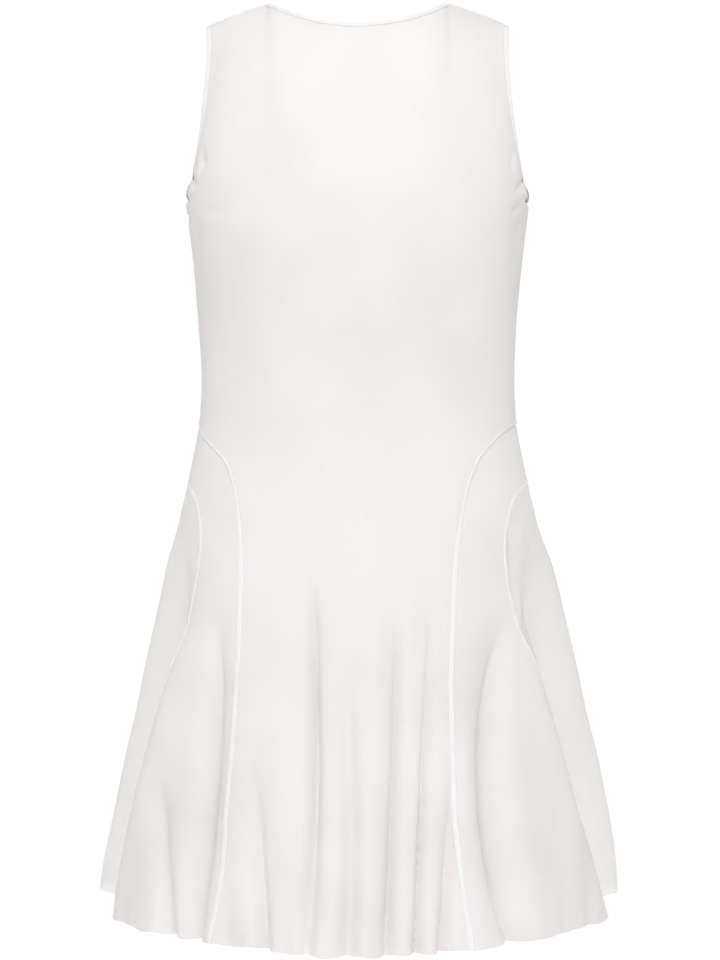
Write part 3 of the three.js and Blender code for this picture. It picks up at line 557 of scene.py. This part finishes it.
def mesh_cloth(name, pale, warm, face_alpha, swing, through, net=0.00105, rib=0.0021):
    """Fine knitted net: staggered holes, faint wales, uneven density and tone."""
    mat, nt = nodes_of(name)
    uv = nt.nodes.new("ShaderNodeUVMap")
    uv.uv_map = "cloth"
    sep = nt.nodes.new("ShaderNodeSeparateXYZ")
    nt.links.new(uv.outputs[0], sep.inputs[0])
    geo = nt.nodes.new("ShaderNodeTexCoord")
    obj = geo.outputs["Object"]
    u, v = sep.outputs[0], sep.outputs[1]
    su = math_node(nt, "COSINE", math_node(nt, "MULTIPLY", u, 2 * math.pi / net))
    sv = math_node(nt, "COSINE", math_node(nt, "MULTIPLY", v, 2 * math.pi / (net * 1.15)))
    hole = math_node(nt, "MULTIPLY", su, sv)
    wale = math_node(nt, "COSINE", math_node(nt, "MULTIPLY", u, 2 * math.pi / rib))
    streak = noise(nt, scaled(nt, uv.outputs[0], (1, 0.035, 1)), 420.0, 2.0, 0.6)
    cloud = noise(nt, obj, 14.0, 3.0, 0.55)
    grain = noise(nt, uv.outputs[0], 900.0, 1.0, 0.5)
    uneven = math_node(nt, "ADD", math_node(nt, "MULTIPLY", math_node(nt, "SUBTRACT", streak, 0.5), 0.05),
                       math_node(nt, "MULTIPLY", math_node(nt, "SUBTRACT", cloud, 0.5), 0.08))
    alpha = math_node(nt, "ADD", math_node(nt, "MULTIPLY", hole, swing), math_node(nt, "ADD", uneven, face_alpha), clamp=True)
    tone = math_node(nt, "ADD", math_node(nt, "MULTIPLY", math_node(nt, "SUBTRACT", cloud, 0.5), 2.6),
                     math_node(nt, "ADD", math_node(nt, "MULTIPLY", math_node(nt, "SUBTRACT", streak, 0.5), 0.5), 0.4), clamp=True)
    colour = ramp_mix(nt, tone, pale, warm)
    height = math_node(nt, "ADD", math_node(nt, "MULTIPLY", hole, -0.5),
                       math_node(nt, "ADD", math_node(nt, "MULTIPLY", wale, 0.35), math_node(nt, "MULTIPLY", grain, 0.5)))
    bump = nt.nodes.new("ShaderNodeBump")
    bump.inputs["Strength"].default_value = 0.35
    bump.inputs["Distance"].default_value = 0.00012
    nt.links.new(height, bump.inputs["Height"])
    bsdf = nt.nodes.new("ShaderNodeBsdfPrincipled")
    nt.links.new(colour, bsdf.inputs["Base Color"])
    bsdf.inputs["Roughness"].default_value = 0.86
    bsdf.inputs["Specular IOR Level"].default_value = 0.18
    bsdf.inputs["Sheen Weight"].default_value = 0.10
    bsdf.inputs["Sheen Roughness"].default_value = 0.5
    nt.links.new(bump.outputs[0], bsdf.inputs["Normal"])
    tl = nt.nodes.new("ShaderNodeBsdfTranslucent")
    nt.links.new(colour, tl.inputs["Color"])
    mix = nt.nodes.new("ShaderNodeMixShader")
    mix.inputs[0].default_value = through
    nt.links.new(bsdf.outputs[0], mix.inputs[1])
    nt.links.new(tl.outputs[0], mix.inputs[2])
    clear = nt.nodes.new("ShaderNodeBsdfTransparent")
    see = nt.nodes.new("ShaderNodeMixShader")
    nt.links.new(alpha, see.inputs[0])
    nt.links.new(clear.outputs[0], see.inputs[1])
    nt.links.new(mix.outputs[0], see.inputs[2])
    out = nt.nodes.new("ShaderNodeOutputMaterial")
    nt.links.new(see.outputs[0], out.inputs["Surface"])
    return mat


def thread_mat(name, a, b):
    mat, nt = nodes_of(name)
    co = nt.nodes.new("ShaderNodeTexCoord").outputs["Object"]
    col = ramp_mix(nt, noise(nt, co, 1500.0, 1.0), a, b)
    bump = nt.nodes.new("ShaderNodeBump")
    bump.inputs["Strength"].default_value = 0.4
    bump.inputs["Distance"].default_value = 0.0001
    nt.links.new(noise(nt, co, 4200.0, 1.0), bump.inputs["Height"])
    bsdf = nt.nodes.new("ShaderNodeBsdfPrincipled")
    nt.links.new(col, bsdf.inputs["Base Color"])
    bsdf.inputs["Roughness"].default_value = 0.55
    bsdf.inputs["Specular IOR Level"].default_value = 0.3
    nt.links.new(bump.outputs[0], bsdf.inputs["Normal"])
    out = nt.nodes.new("ShaderNodeOutputMaterial")
    nt.links.new(bsdf.outputs[0], out.inputs["Surface"])
    return mat


PALE, WARM = (0.930, 0.912, 0.907), (0.884, 0.860, 0.850)
CLOTH = mesh_cloth("mesh_net", PALE, WARM, face_alpha=0.84, swing=0.11, through=0.12)
SHEER = mesh_cloth("mesh_net_sheer", (0.955, 0.932, 0.918), (0.915, 0.886, 0.868), face_alpha=0.36, swing=0.22, through=0.42)
EDGE = mesh_cloth("mesh_net_folded", (0.962, 0.958, 0.954), (0.945, 0.938, 0.932), face_alpha=0.93, swing=0.06, through=0.12)
RIDGE = mesh_cloth("seam_net", (0.958, 0.962, 0.976), (0.940, 0.946, 0.960), face_alpha=0.96, swing=0.04, through=0.08, net=0.0008)
THREAD = thread_mat("thread", (0.96, 0.96, 0.97), (0.92, 0.92, 0.935))

# ---- panels ---------------------------------------------------------------
COLS, SIDE_ROWS, YOKE_ROWS, ARCH_COLS = 150, 64, 60, 64
THICK = 0.5


def yoke_us(cols):
    half = cols // 2
    inner = round(half * U_NECK)
    j = np.arange(-half, half + 1)
    a = np.abs(j)
    w = np.clip((a - inner) / (half - inner), 0, 1)
    u = np.where(a <= inner, U_NECK * a / inner, U_NECK + (1 - U_NECK) * (w + 0.55 * w * (1 - w)))
    return np.sign(j) * u


US = yoke_us(COLS)


def fair_rows(P, at, reach, sigma):
    """Smooth the columns of a grid near one row."""
    R = len(P)
    k = np.arange(-3 * sigma, 3 * sigma + 1)
    w = np.exp(-0.5 * (k / sigma) ** 2)
    w /= w.sum()
    padded = P[np.clip(np.arange(R)[:, None] + k[None, :], 0, R - 1)]
    soft = (padded * w[None, :, None, None]).sum(1)
    share = np.clip(1 - np.abs(np.arange(R) - at) / reach, 0, 1)[:, None, None]
    share = share * share * (3 - 2 * share)
    return P * (1 - share) + soft * share


def body_grid(which):
    rows = []
    first, last = (-1, 1) if which == "back" else (1, -1)
    turn = (lambda a: a) if which == "back" else (lambda a: np.where(a < 0, a + 360, a))
    n = len(DROPS_A)
    for i in range(n - 1, -1, -1):
        f, l = A[which, first][i], A[which, last][i]
        th, z = row_between((float(turn(f[0])), f[1]), (float(turn(l[0])), l[1]), COLS)
        rows.append(skin(th, z))
    us = US if which == "back" else US[::-1]
    table, neck, sign = (YOKE_BACK, BACK_NECK, -1) if which == "back" else (YOKE_FRONT, FRONT_NECK, 1)
    aim = turn(yoke_angle(us, table, sign))
    ends = (-90.0, 90.0) if which == "back" else (90.0, 270.0)
    for i in range(1, SIDE_ROWS + 1):
        t = i / SIDE_ROWS
        t = t + 0.6 * t * (1 - t)
        z = Z_ARCH_A + (Z_UNDER - Z_ARCH_A) * t
        th, zz = row_between((ends[0], z), (ends[1], z), COLS)
        k = float(ease(t, 0, 1))
        th = th + (aim - th) * k
        th[0], th[-1] = ends
        rows.append(skin(th, zz))
    up = np.arange(1, YOKE_ROWS + 1) / YOKE_ROWS
    top = yoke(us, up - 0.6 * up * (1 - up), table, neck, sign)
    P = np.concatenate([np.array(rows), top])
    at = len(rows) - 1
    soft = fair_rows(P, at, 34, 8)
    # the side seam and the armhole keep their lines
    keep = np.zeros(COLS + 1)
    keep[[0, -1]] = 1
    keep[[1, -2]] = 0.85
    keep[[2, -3]] = 0.65
    keep[[3, -4]] = 0.4
    keep[[4, -5]] = 0.2
    keep[[5, -6]] = 0.08
    return P * keep[None, :, None] + soft * (1 - keep[None, :, None])


def sink_beside(P, col, deep, drop_mm):
    """Pull the cloth in beside a seam, most near the top of its arch."""
    N = normals_of(P)
    top = P[:, col, 2].max()
    near = 1 - ease(top - P[:, col, 2], 0.25 * drop_mm, drop_mm)
    step = 1 if col == 0 else -1
    for k, share in ((1, 0.8), (2, 1.0), (3, 0.55), (4, 0.2)):
        P[:, col + k * step] -= N[:, col + k * step] * (deep * share * (0.25 + 0.75 * near))[:, None]
    return P


def arch_grid(side):
    rows = []
    Ab, Bb, Af, Bf = A["back", side], B["back", side], A["front", side], B["front", side]
    for i in range(len(Ab) - 1, -1, -1):
        th, z = row_between(Ab[i], Bb[i], ARCH_COLS)
        rows.append(skin(th, z))
    for i in range(1, len(Af)):
        th, z = row_between(Af[i], Bf[i], ARCH_COLS)
        rows.append(skin(th, z))
    return sink_beside(np.array(rows), 0, 1.3, 120)


def godet_grid(side, take=42):
    Bb, Bf = B["back", side], B["front", side]
    top = np.concatenate([Bb[take::-1], Bf[1:take + 1]])
    cells = len(top) - 1
    th, z = row_between(Bb[-1], Bf[-1], cells)
    hem = np.stack([th, z], -1)
    last = len(Bb) - 1
    u = np.linspace(0, 1, cells + 1)[:, None]
    rows = []
    for k in range(take, last + 1):
        l, r = Bb[k], Bf[k]
        v = (l[1] - top[0, 1]) / (Z_HEM - top[0, 1])
        row = ((1 - v) * top + v * hem + (1 - u) * l + u * r
               - ((1 - u) * (1 - v) * top[0] + u * (1 - v) * top[-1] + (1 - u) * v * hem[0] + u * v * hem[-1]))
        if k == take:
            row = top.copy()
        if k == last:
            row = hem.copy()
        rows.append(skin(row[:, 0], row[:, 1]))
    return sink_beside(sink_beside(np.array(rows[::-1]), 0, 1.3, 400), -1, 1.3, 400)


made = {}
grids = {
    "back_panel": (body_grid("back"), [0, 1]),
    "front_panel": (body_grid("front"), [0, 1]),
    "side_panel_right": (arch_grid(1), [0, 1, -1, -2]),
    "side_panel_left": (arch_grid(-1), [0, 1, -1, -2]),
    "godet_right": (godet_grid(1), [0, 1]),
    "godet_left": (godet_grid(-1), [0, 1]),
}
surface = {}
for name, (P, hem) in grids.items():
    ob, Q, N = shell(name + "_cloth", P, THICK, SHEER if "godet" in name else CLOTH, hem)
    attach(ob, "root")
    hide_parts(name)
    made[name], surface[name] = ob, (Q, N)

# ---- bound edges --------------------------------------------------------------
HALF = COLS // 2
INNER = round(HALF * U_NECK)
TOP = len(surface["back_panel"][0]) - 1
UNDER = TOP - YOKE_ROWS
Qb, Nb = surface["back_panel"]
Qf, Nf = surface["front_panel"]


def soften(a, n, closed=True):
    for _ in range(n):
        b = (np.roll(a, 1, 0) + 2 * a + np.roll(a, -1, 0)) / 4
        if not closed:
            b[0], b[-1] = a[0], a[-1]
        a = b
    return a


def neck_loop():
    jb = np.arange(HALF - INNER, HALF + INNER + 1)
    p = np.concatenate([Qb[TOP, jb], Qf[TOP, jb][1:-1]])
    n = np.concatenate([Nb[TOP, jb], Nf[TOP, jb][1:-1]])
    q = np.concatenate([Qb[TOP - 2, jb], Qf[TOP - 2, jb][1:-1]])
    return p, n, q - p


def arm_loop(side):
    jb, jf = (COLS, 0) if side > 0 else (0, COLS)
    step = -1 if side > 0 else 1
    p = np.concatenate([Qb[UNDER:TOP + 1, jb], Qf[TOP - 1:UNDER:-1, jf]])
    n = np.concatenate([Nb[UNDER:TOP + 1, jb], Nf[TOP - 1:UNDER:-1, jf]])
    q = np.concatenate([Qb[UNDER:TOP + 1, jb + 6 * step], Qf[TOP - 1:UNDER:-1, jf - 6 * step]])
    d = q - p
    under = np.linalg.norm(p - p[0], axis=1) < 14
    d[under] = d[under] * 0.4 + np.array([-side * 1.0, 0, -9.0])
    return p, n, d


def evenly(p, step, *more):
    """A closed loop and its companions, resampled evenly."""
    c = np.vstack([p, p[:1]])
    d = np.r_[0, np.cumsum(np.linalg.norm(np.diff(c, axis=0), axis=1))]
    s = np.linspace(0, d[-1], int(d[-1] / step) + 1)[:-1]
    out = []
    for a in (p, *more):
        a = np.vstack([a, a[:1]])
        out.append(np.stack([np.interp(s, d, a[:, k]) for k in range(3)], -1))
    return out, d[-1]


def binding(name, loop, cad):
    (p, n, d), length = evenly(loop[0], 2.2, loop[1], loop[2])
    p = soften(p, 4)
    n, d = soften(n, 14), soften(d, 10)
    t = np.roll(p, -1, 0) - np.roll(p, 1, 0)
    t /= np.linalg.norm(t, axis=1, keepdims=True)
    n -= (n * t).sum(1)[:, None] * t
    n /= np.linalg.norm(n, axis=1, keepdims=True)
    b = np.cross(t, n)
    way = np.sign((b * d).sum(1).mean())
    # the folded strip: down the outside, round the edge and up the inside
    s = np.arange(len(p)) * 2.2
    pucker = 0.10 * np.sin(2 * math.pi * s / 2.75) + 0.07 * np.sin(s * 0.83 + 1.0)
    half, wall, deep = 0.72, 0.42, 4.6
    mid = [(deep, half - 0.16), (deep - 0.5, half - 0.04), (deep - 1.0, half - 0.14), (deep - 1.5, half), (2.0, half + 0.06), (0.8, half),
           (0.1, half * 0.72), (-0.25, 0.0), (0.1, -half * 0.72), (0.8, -half), (2.0, -half - 0.06), (deep - 1.5, -half),
           (deep - 1.0, -half + 0.14), (deep - 0.5, -half + 0.04), (deep, -half + 0.16)]
    mid = np.array(mid)
    tang = np.gradient(mid, axis=0)
    tang /= np.linalg.norm(tang, axis=1, keepdims=True)
    nor = np.stack([-tang[:, 1], tang[:, 0]], -1)
    prof = np.concatenate([mid + nor * wall / 2, (mid - nor * wall / 2)[::-1]])
    prof[:, 0] *= way
    m, k = len(p), len(prof)
    lift = np.where(np.abs(prof[:, 0]) > 2.4, 1.0, 0.35)[None, :] * np.sign(prof[:, 1])[None, :]
    off = prof[None, :, 1] - THICK / 2 + pucker[:, None] * lift
    V = (p[:, None] + prof[None, :, 0, None] * b[:, None] + off[..., None] * n[:, None]).reshape(-1, 3)
    F = []
    for i in range(m):
        i2 = (i + 1) % m
        for q in range(k):
            q2 = (q + 1) % k
            F.append((i * k + q, i * k + q2, i2 * k + q2, i2 * k + q))
    if volume_sign(V, F) < 0:
        F = [f[::-1] for f in F]
    w = np.r_[0, np.cumsum(np.linalg.norm(np.diff(prof, axis=0), axis=1))]
    uv = np.stack([np.broadcast_to(w, (m, k)), np.broadcast_to(s[:, None], (m, k))], -1).reshape(-1, 2) * MM
    ob = new_object(name, V, F, EDGE, uv=uv, sharp=70)
    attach(ob, "root")
    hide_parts(cad)
    line = np.vstack([p, p[:1]])
    ups = np.vstack([n, n[:1]])
    rows = [(line, ups, way * 3.7, half - THICK / 2 + 0.16, 0.0), (line, -ups, -way * 3.7, half + THICK / 2 + 0.16, 0.0)]
    st = thread_run(name + "_stitches", rows, 2.75, 2.1, 0.17, THREAD)
    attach(st, "root")
    print("binding", name, "length", round(float(length), 1))
    return ob, length


neck_ob, neck_len = binding("neck_edge", neck_loop(), "neck_binding")
arm_r, arm_len = binding("armhole_edge_right", arm_loop(1), "armhole_binding_right")
arm_l, _ = binding("armhole_edge_left", arm_loop(-1), "armhole_binding_left")


# ---- seam ridges ---------------------------------------------------------------
def grid_edge(name, kind):
    Q, N = surface[name]
    if kind == "A":
        return Q[:, 0], N[:, 0]
    if kind == "B":
        return Q[:, -1], N[:, -1]
    raise ValueError(kind)


# across, out: a flat seam with two raised rows, its allowance on the inside
FLAT_SEAM = [(-2.6, -0.05), (-2.35, 0.40), (-1.8, 0.76), (-1.2, 0.84), (-0.5, 0.60), (0.0, 0.46), (0.5, 0.60),
             (1.2, 0.84), (1.8, 0.76), (2.35, 0.40), (2.6, -0.05), (2.4, -0.75), (1.4, -1.25), (0.0, -1.35), (-1.4, -1.25), (-2.4, -0.75)]
SLIM_SEAM = [(-1.5, -0.05), (-1.2, 0.28), (-0.6, 0.42), (0.0, 0.20), (0.6, 0.42), (1.2, 0.28), (1.5, -0.05),
             (2.4, -0.62), (2.6, -1.1), (1.4, -1.35), (-1.4, -1.35), (-2.6, -1.1), (-2.4, -0.62)]


def along(p, n, step, extra=0.0):
    d = np.r_[0, np.cumsum(np.linalg.norm(np.diff(p, axis=0), axis=1))]
    s = np.linspace(0, d[-1], max(3, int(d[-1] / step)))
    q = np.stack([np.interp(s, d, p[:, k]) for k in range(3)], -1)
    m = np.stack([np.interp(s, d, n[:, k]) for k in range(3)], -1)
    q, m = soften(q, 2, closed=False), soften(m, 6, closed=False)
    return q, m / np.linalg.norm(m, axis=1, keepdims=True), d[-1]


def ridge(name, p, n, section, rows, pitch, length, arch=None):
    q, m, total = along(p, n, 2.0)
    size = None
    if arch:
        grow = ease(q[:, 2].max() - q[:, 2], arch[0], arch[1])
        size = np.stack([arch[2] + (1 - arch[2]) * grow, 0.55 + 0.45 * grow], -1)
    ob, _ = sweep(name, q, m, section, RIDGE, size=size)
    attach(ob, "root")
    st = thread_run(name + "_stitches", [(q, m, a, o, s) for a, o, s in rows], pitch, length, 0.18, THREAD)
    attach(st, "root")
    print("seam", name, "length", round(float(total), 1))


for side, word in ((1, "right"), (-1, "left")):
    for kind, which in (("A", "outer"), ("B", "inner")):
        p, n = grid_edge("side_panel_" + word, kind)
        ridge("seam_%s_%s" % (which, word), p, n, FLAT_SEAM,
              [(-0.8, 0.72, 0.22), (0.8, 0.72, -0.22)], 2.5, 2.0, arch=(8, 100, 0.55) if kind == "A" else (20, 420, 0.5))
    j = COLS if side > 0 else 0
    rows = slice(UNDER - SIDE_ROWS, UNDER + 1)
    ridge("seam_side_" + word, Qb[rows, j], Nb[rows, j], SLIM_SEAM, [(0.7, 0.42, 0.0)], 2.6, 2.0)
    js = np.arange(HALF + INNER, COLS + 1) if side > 0 else np.arange(0, HALF - INNER + 1)
    line = Qb[TOP, js]
    up = np.tile(np.array([side * (NECK_TOP - TIP_Z), 0, TIP_X - NECK_HALF], float), (len(line), 1))
    ridge("seam_shoulder_" + word, line, up / np.linalg.norm(up[0]), SLIM_SEAM, [(0.7, 0.42, 0.0)], 2.6, 2.0)


# ---- stage, light, camera -----------------------------------------------------
def stage_bowl():
    """A pale seamless floor that turns up into a wall all round."""
    prof = [(0.0004, -1.45), (2.0, -1.45), (4.2, -1.45), (5.0, -1.35), (5.6, -1.0), (5.9, -0.4), (6.0, 0.6), (6.0, 2.6), (5.6, 4.2), (4.0, 5.4), (0.0004, 6.0)]
    m = 48
    V = [(r * 1000 * math.cos(2 * math.pi * k / m), r * 1000 * math.sin(2 * math.pi * k / m), z * 1000) for r, z in prof for k in range(m)]
    F = [(i * m + k, i * m + (k + 1) % m, (i + 1) * m + (k + 1) % m, (i + 1) * m + k) for i in range(len(prof) - 1) for k in range(m)]
    mat, nt = nodes_of("studio_white")
    em = nt.nodes.new("ShaderNodeEmission")
    em.inputs["Color"].default_value = (1.0, 1.0, 1.0, 1)
    em.inputs["Strength"].default_value = 1.02
    out = nt.nodes.new("ShaderNodeOutputMaterial")
    nt.links.new(em.outputs[0], out.inputs["Surface"])
    ob = new_object("studio_floor_and_wall", V, F, mat, sharp=0)
    ob.visible_diffuse = ob.visible_glossy = ob.visible_transmission = ob.visible_shadow = False
    return ob


stage_bowl()


def softbox(name, loc, aim, size, watts, colour=(1, 1, 1), spread=180):
    data = bpy.data.lights.new(name, "AREA")
    data.spread = math.radians(spread)
    data.shape, data.size, data.size_y = "RECTANGLE", size[0], size[1]
    data.energy, data.color = watts, colour
    ob = bpy.data.objects.new(name, data)
    bpy.context.scene.collection.objects.link(ob)
    ob.location = loc
    ob.rotation_euler = (Vector(aim) - Vector(loc)).to_track_quat("-Z", "Y").to_euler()
    ob.visible_camera = False
    return ob


softbox("key", (0.0, -3.4, 0.25), (0, 0, -0.42), (2.4, 2.4), 18)
softbox("key_high", (0.0, -2.6, 1.8), (0, 0, -0.5), (2.4, 1.2), 27)
softbox("far_fill", (0.0, 3.4, 0.35), (0, 0, -0.42), (2.4, 2.4), 30)
softbox("far_high", (0.0, 2.6, 1.8), (0, 0, -0.5), (2.4, 1.2), 29)
softbox("side_right", (2.6, -1.6, 0.2), (0, 0, -0.5), (1.6, 1.6), 3)
softbox("side_left", (-2.6, -1.6, 0.2), (0, 0, -0.5), (1.6, 1.6), 3)

world = bpy.data.worlds.new("studio")
bpy.context.scene.world = world
world.use_nodes = True
wt = world.node_tree
bg = wt.nodes["Background"]
wz = wt.nodes.new("ShaderNodeSeparateXYZ")
wt.links.new(wt.nodes.new("ShaderNodeTexCoord").outputs["Generated"], wz.inputs[0])
wt.links.new(math_node(wt, "MULTIPLY_ADD", wz.outputs[1], -0.075, 0.73), bg.inputs[1])
bg.inputs[0].default_value = (1.0, 0.997, 0.99, 1)

scene = bpy.context.scene
scene.view_settings.view_transform = "Standard"
scene.view_settings.look = "None"
scene.view_settings.exposure = 0.0
scene.view_settings.gamma = 1.0
scene.cycles.transparent_max_bounces = 32
scene.cycles.max_bounces = 8
scene.cycles.diffuse_bounces = 5
scene.cycles.transmission_bounces = 4

cam = bpy.data.cameras.new("camera")
cam.sensor_fit, cam.sensor_height, cam.lens = "VERTICAL", 36.0, 79.79
cam.clip_start, cam.clip_end = 0.05, 60
cam_ob = bpy.data.objects.new("camera", cam)
scene.collection.objects.link(cam_ob)
cam_ob.location = (0.0022, -2.0, -0.437)
cam_ob.rotation_euler = (math.radians(90), 0, 0)
scene.camera = cam_ob
